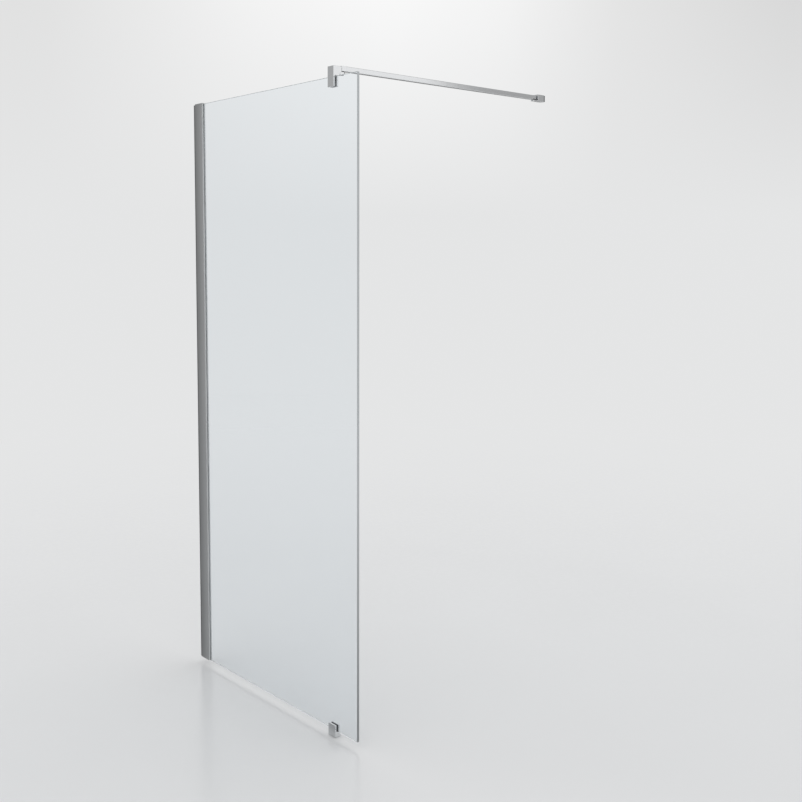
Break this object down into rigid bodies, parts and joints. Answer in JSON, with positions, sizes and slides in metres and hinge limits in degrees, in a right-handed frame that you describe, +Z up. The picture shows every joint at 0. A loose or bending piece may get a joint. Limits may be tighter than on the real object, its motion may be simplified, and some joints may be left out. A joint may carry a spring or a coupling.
{
  "type": "fixed shower screen",
  "caption": "Fixed shower screen: a clear glass panel in a wall profile, with a foot and a top clamp that holds a swivelling square support bar to the opposite wall.",
  "frame": {"origin": "on the wall face of the wall channel, at its lower end, on the middle plane of the glass and level with its lower edge", "axes": "+X across the glass towards the shower and the far end of the support bar, +Y into the wall that carries the glass, +Z up"},
  "size_m": [0.911, 0.9, 2.0065],
  "materials": {
    "aluminium": "bright anodised extrusion",
    "mill_aluminium": "plain mill finish, hidden by the profile",
    "chrome": "polished chrome plate",
    "glass": "clear toughened glass",
    "steel": "stainless steel",
    "seal": "soft grey gasket",
    "pad": "dark rubber pad",
    "grey_plastic": "moulded, satin",
    "white_plastic": "moulded",
    "dark_plastic": "moulded, satin",
    "black_plastic": "moulded"
  },
  "bodies": {
    "wall_channel": {"wall_channel": "mill_aluminium"},
    "screen": {"glass_profile": "aluminium", "profile_cap": "grey_plastic", "outer_glazing_seal": "seal", "inner_glazing_seal": "seal", "edge_packers": "white_plastic", "lock_screws": "steel", "lock_nuts": "steel", "lock_screw_caps": "grey_plastic", "glass_panel": "glass", "clamp_body": "chrome", "clamp_outer_pad": "pad", "clamp_inner_pad": "pad", "clamp_edge_pad": "pad", "clamp_pressure_plate": "steel", "clamp_set_screws": "steel", "glass_swivel_washer": "black_plastic", "foot_body": "chrome", "foot_outer_pad": "pad", "foot_inner_pad": "pad", "foot_edge_pad": "pad", "foot_pressure_plate": "steel", "foot_set_screws": "steel", "foot_floor_pad": "pad"},
    "support_bar": {"bar_tube": "chrome", "bar_end_glass": "chrome", "bar_end_wall": "chrome", "bar_set_screws": "steel", "glass_swivel_screw": "steel", "wall_swivel_screw": "steel"},
    "wall_bracket": {"bracket_body": "chrome", "bracket_base": "dark_plastic", "bracket_set_screw": "steel", "wall_swivel_washer": "black_plastic"}
  },
  "joints": [
    {"name": "screen_adjust", "type": "slide", "parent": "wall_channel", "child": "screen", "axis": [0, 1, 0], "range_m": [-0.008, 0.008]},
    {"name": "clamp_swivel", "type": "hinge", "parent": "screen", "child": "support_bar", "pos_m": [0.031, -0.785, 1.975], "axis": [0, 0, 1], "range_deg": [-90, 90]},
    {"name": "bracket_swivel", "type": "hinge", "parent": "support_bar", "child": "wall_bracket", "pos_m": [0.852, -0.785, 1.975], "axis": [0, 0, 1], "range_deg": [-90, 90]}
  ]
}
